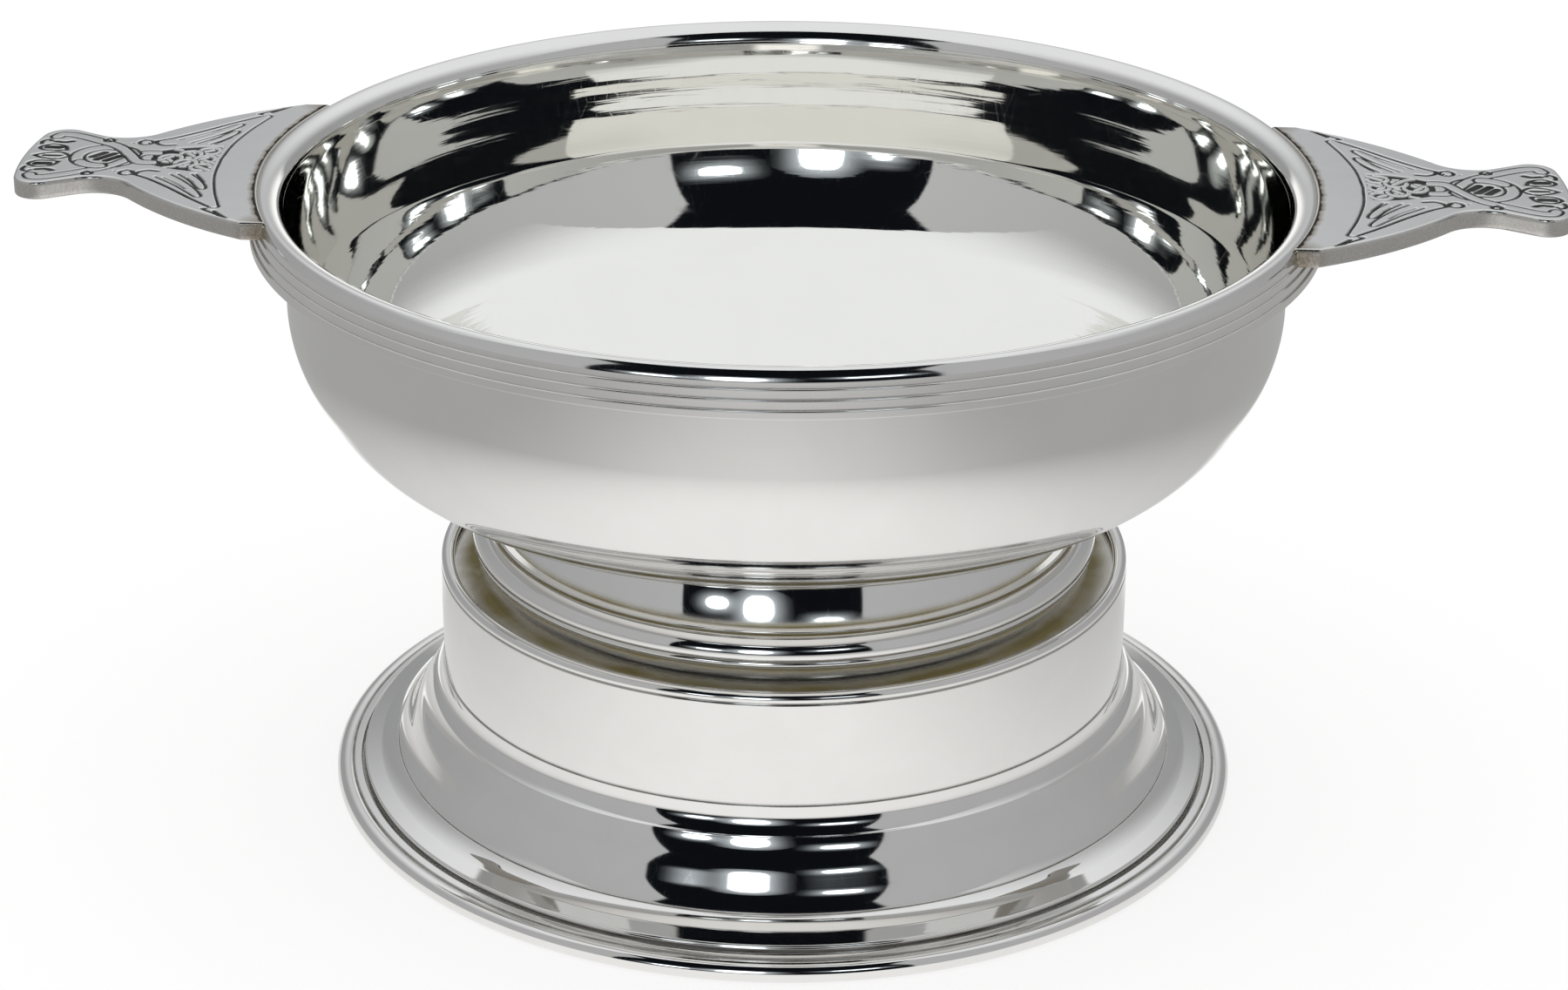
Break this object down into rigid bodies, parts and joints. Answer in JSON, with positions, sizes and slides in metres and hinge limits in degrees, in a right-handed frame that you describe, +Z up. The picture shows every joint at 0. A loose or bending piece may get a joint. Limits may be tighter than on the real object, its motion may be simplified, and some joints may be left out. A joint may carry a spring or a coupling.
{
  "type": "quaich",
  "caption": "Shallow two-handled drinking bowl with flat waisted lugs, reeded rim and coved foot, standing in the recess of a moulded round plinth from which it lifts off.",
  "frame": {"origin": "centre of the plinth's underside, on the table", "axes": "+X along the two handles, +Z up, +Y away from the viewer"},
  "size_m": [0.292, 0.202, 0.1241],
  "materials": {
    "bowl_metal": "mirror-polished pewter",
    "handle_metal": "polished cast pewter, engraved, dark patina in the lines",
    "plinth_metal": "mirror-polished pewter, lightly scratched",
    "plinth_seat": "dull pewter"
  },
  "bodies": {
    "plinth": {"plinth_base_ring": "plinth_metal", "plinth_skirt": "plinth_metal", "plinth_drum": "plinth_metal", "plinth_rim": "plinth_metal", "plinth_seat": "plinth_seat"},
    "quaich": {"bowl": "bowl_metal", "rim_band": "bowl_metal", "handle_left": "handle_metal", "handle_right": "handle_metal", "foot": "bowl_metal", "foot_moulding": "bowl_metal"}
  },
  "joints": [
    {"name": "quaich_lift", "type": "slide", "parent": "plinth", "child": "quaich", "axis": [0, 0, 1], "range_m": [0, 0.12]}
  ]
}
